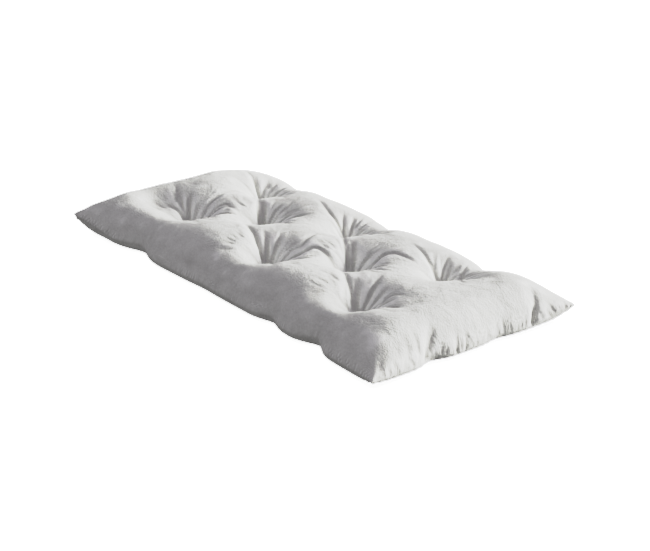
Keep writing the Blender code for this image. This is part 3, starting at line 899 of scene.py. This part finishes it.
def together(tree, first, second, share):
    """Two values added up, the first one with the given share."""
    shares = maths(tree, "MULTIPLY", first, share), maths(tree, "MULTIPLY", second, 1 - share)
    return maths(tree, "ADD", *shares)


def noise(tree, place, scale, **more):
    """Smooth noise over a place; further inputs are given by their names."""
    return node(tree, "ShaderNodeTexNoise", {"Vector": place, "Scale": scale, **more}).outputs["Fac"]


def blend(tree, share, first, second):
    """A colour between two others."""
    return node(tree, "ShaderNodeMix", {"Factor": share, 6: first, 7: second}, data_type="RGBA").outputs[2]


def bump(tree, height, strength, distance, **below):
    """A bumped normal, over another normal if one is given."""
    wired = {"Height": height, "Strength": strength, "Distance": distance, **below}
    return node(tree, "ShaderNodeBump", wired).outputs["Normal"]


print("helpers ready")

# %% Nap: soft patches where the pile lies differently
def nap_group():
    """Broad patches and short streaks, as a shade round zero and as relief."""
    group, given, out = new_group(
        "brushed_nap",
        (("Patch Size", 0.045), ("Streak Size", 0.006), ("Contrast", 1.25)),
        (("Shade", "NodeSocketFloat"), ("Relief", "NodeSocketFloat")),
    )
    place = node(group, "ShaderNodeTexCoord").outputs["Object"]
    patch_scale = maths(group, "DIVIDE", 1.0, given.outputs["Patch Size"])
    patches = noise(group, place, patch_scale, Detail=3.0, Roughness=0.55, Distortion=0.6)
    stretched = {"Vector": place, "Rotation": (0, 0, math.radians(35)), "Scale": (1.0, 1.9, 0.45)}
    brushed = node(group, "ShaderNodeMapping", stretched).outputs["Vector"]
    streak_scale = maths(group, "DIVIDE", 1.0, given.outputs["Streak Size"])
    streaks = noise(group, brushed, streak_scale, Detail=4.0, Roughness=0.6)
    centred = maths(group, "SUBTRACT", together(group, patches, streaks, 0.5), 0.5)
    raised = together(group, patches, streaks, 0.7)
    group.links.new(maths(group, "MULTIPLY", centred, given.outputs["Contrast"]), out.inputs["Shade"])
    group.links.new(raised, out.inputs["Relief"])
    return group


brushed_nap = nap_group()
print("node group", brushed_nap.name)

# %% Weave: the fine threads below the nap
def weave_group():
    """Rounded cells the size of a thread, higher in some places than in others."""
    group, given, out = new_group(
        "fine_weave",
        (("Thread Size", 0.0016),),
        (("Height", "NodeSocketFloat"), ("Shade", "NodeSocketFloat")),
    )
    place = node(group, "ShaderNodeTexCoord").outputs["Object"]
    scale = maths(group, "DIVIDE", 1.0, given.outputs["Thread Size"])
    wobble = noise(group, place, maths(group, "MULTIPLY", scale, 0.35), Detail=2.0)
    laid = {"Vector": place, "Scale": scale, "Randomness": 0.9}
    cells = node(group, "ShaderNodeTexVoronoi", laid, feature="F1").outputs["Distance"]
    rounded = maths(group, "SUBTRACT", 1.0, cells)
    height = maths(group, "MULTIPLY", rounded, maths(group, "ADD", wobble, 0.5))
    group.links.new(height, out.inputs["Height"])
    group.links.new(maths(group, "SUBTRACT", wobble, 0.5), out.inputs["Shade"])
    return group


fine_weave = weave_group()
print("node group", fine_weave.name)

# %% [markdown]
# The material itself holds the shader. Its colour is a pale warm grey that the nap lightens and
# darkens by a few percent; ridges are painted paler still, a painted highlight, and furrows
# darker, a painted shade. Two bumps, one for the nap and one for the weave, break up the light,
# most visibly where a mound turns from light to shade. Sheen stands for the tips of the pile,
# which catch light at a grazing angle.

# %% The pale grey cloth
# Near-white colour of the painted highlight on ridges.
PAINTED_HIGHLIGHT_COLOUR = (0.95, 0.955, 0.93, 1)


def cloth_material(name, dark, light, nap_contrast, sheen):
    """Brushed cloth between two colours."""
    material = bpy.data.materials.new(name)
    material.use_nodes = True
    tree = material.node_tree
    shader = tree.nodes["Principled BSDF"]
    nap = node(tree, "ShaderNodeGroup", node_tree=brushed_nap)
    nap.inputs["Contrast"].default_value = nap_contrast
    weave = node(tree, "ShaderNodeGroup", node_tree=fine_weave)
    mixed = maths(tree, "ADD", nap.outputs["Shade"], maths(tree, "MULTIPLY", weave.outputs["Shade"], 0.5))
    # Ridges are painted paler and furrows darker: painted highlight on ridges and painted shade in
    # furrows.
    attribute = node(tree, "ShaderNodeAttribute", attribute_name="painted_ridge_shading", attribute_type="GEOMETRY")
    ridge = attribute.outputs["Fac"]
    mixed = maths(tree, "ADD", mixed, maths(tree, "MULTIPLY", ridge, 0.45))
    share = maths(tree, "ADD", mixed, 0.5, clamp=True)
    colour = blend(tree, share, dark, light)
    # Ridges are blended further toward near-white: a painted highlight.
    painted_highlight = maths(tree, "MULTIPLY_ADD", ridge, 1.7, -0.55, clamp=True)
    tree.links.new(blend(tree, painted_highlight, colour, PAINTED_HIGHLIGHT_COLOUR), shader.inputs["Base Color"])
    limits = {"Value": share, "To Min": 0.88, "To Max": 1.0}
    rough = node(tree, "ShaderNodeMapRange", limits).outputs["Result"]
    tree.links.new(rough, shader.inputs["Roughness"])
    broad = bump(tree, nap.outputs["Relief"], 0.60, 0.010)
    tree.links.new(bump(tree, weave.outputs["Height"], 0.5, 0.0008, Normal=broad), shader.inputs["Normal"])
    shader.inputs["Metallic"].default_value = 0
    shader.inputs["Specular IOR Level"].default_value = 0.15
    shader.inputs["Sheen Weight"].default_value = sheen
    shader.inputs["Sheen Roughness"].default_value = 0.45
    return material


pale_grey_cloth = cloth_material(
    "pale_grey_cloth", (0.58, 0.58, 0.555, 1), (0.82, 0.83, 0.795, 1), nap_contrast=1.6, sheen=0.15
)
cover.data.materials.append(pale_grey_cloth)
tie_thread = cloth_material(
    "tie_thread", (0.62, 0.62, 0.595, 1), (0.80, 0.81, 0.775, 1), nap_contrast=0.9, sheen=0.1
)
tie_threads.data.materials.append(tie_thread)
print("material", pale_grey_cloth.name, "with", len(pale_grey_cloth.node_tree.nodes), "nodes")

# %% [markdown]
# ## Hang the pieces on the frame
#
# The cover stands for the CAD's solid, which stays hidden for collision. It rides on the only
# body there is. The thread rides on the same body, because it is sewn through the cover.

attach(cover, "root")
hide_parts("mattress")
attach(tie_threads, "root")
print("cover and thread ride on root")

# %% [markdown]
# ## Studio
#
# The photograph has a plain white ground, a low key light from the right and a little behind, and
# a dim even fill. A white floor that is bright enough for that would throw too much light back up
# on the shaded side, so the floor shows white to the camera and grey to bounced light. The key
# light skips the floor for the same reason: the photograph shows no cast shadow.

# %% Floor
FLOOR_SIZE = 60


def floor_material():
    """White to the camera, dark grey to the light that bounces off it."""
    material = bpy.data.materials.new("pale_floor")
    material.use_nodes = True
    tree = material.node_tree
    shader = tree.nodes["Principled BSDF"]
    seen = node(tree, "ShaderNodeLightPath").outputs["Is Camera Ray"]
    glow = blend(tree, seen, (0, 0, 0, 1), (1, 1, 1, 1))
    albedo = blend(tree, seen, (0.05, 0.05, 0.05, 1), (0.30, 0.30, 0.30, 1))
    tree.links.new(albedo, shader.inputs["Base Color"])
    tree.links.new(glow, shader.inputs["Emission Color"])
    shader.inputs["Emission Strength"].default_value = 3.8
    shader.inputs["Roughness"].default_value = 1
    shader.inputs["Specular IOR Level"].default_value = 0
    return material


ground = bpy.data.meshes.new("floor")
far = FLOOR_SIZE / 2
ground.from_pydata([(-far, -far, 0), (far, -far, 0), (far, far, 0), (-far, far, 0)], [], [(0, 1, 2, 3)])
floor = bpy.data.objects.new("floor", ground)
floor.location.z = -0.0005  # a hair below the underside, so that the two faces don't flicker
ground.materials.append(floor_material())
bpy.context.scene.collection.objects.link(floor)
print("the floor is", FLOOR_SIZE, "m wide")

# %% Key light and fill
FILL, BACKDROP = 0.405, 4.0


def sun(name, azimuth, elevation, strength, softness, lights_only):
    """A distant light that falls only on the given objects."""
    lamp = bpy.data.lights.new(name, "SUN")
    lamp.energy, lamp.angle, lamp.color = strength, math.radians(softness), (1.0, 1.0, 0.95)
    lit = bpy.data.objects.new(name, lamp)
    lit.rotation_euler = from_origin(azimuth, elevation, 1).to_track_quat("Z", "Y").to_euler()
    bpy.context.scene.collection.objects.link(lit)
    receivers = bpy.data.collections.new(name + "_lights")
    for piece in lights_only:
        receivers.objects.link(piece)
    lit.light_linking.receiver_collection = receivers
    return lit


# The key light stands 107 degrees round from the camera, low over the floor.
sun("key", AZIMUTH + math.radians(107), math.radians(12.5), 9.8, 20, [cover, tie_threads])
sun("floor_light", 0, math.radians(90), 10.0, 90, [floor])
world = bpy.data.worlds.new("studio")
bpy.context.scene.world = world
world.use_nodes = True
sky = world.node_tree.nodes["Background"]
seen = node(world.node_tree, "ShaderNodeLightPath").outputs["Is Camera Ray"]
levels = {"Value": seen, "To Min": FILL, "To Max": BACKDROP}
strength = node(world.node_tree, "ShaderNodeMapRange", levels).outputs["Result"]
sky.inputs["Color"].default_value = (1.0, 0.965, 1.04, 1)
world.node_tree.links.new(strength, sky.inputs["Strength"])
print("studio ready")

# %% [markdown]
# ## The camera's response
#
# A light this low is five times as strong on a slope that faces it as on a level mound. A
# photograph doesn't show that: its highlights roll off, and all of the lit cloth comes out nearly
# equally pale. A curve on the colours of the view does the same, and leaves the scene itself alone.

# %% Roll off the highlights
WHITE_LEVEL = 4
view = bpy.context.scene.view_settings
view.view_transform = "Standard"
view.use_curve_mapping = True
view.curve_mapping.white_level = (WHITE_LEVEL, WHITE_LEVEL, WHITE_LEVEL)
response = view.curve_mapping.curves[3]
for light, shown in ((0.20, 0.20), (0.45, 0.45), (0.75, 0.66), (1.10, 0.735), (1.80, 0.79), (3.00, 0.86)):
    response.points.new(light / WHITE_LEVEL, shown)
view.curve_mapping.update()
print("response curve of", len(response.points), "points")
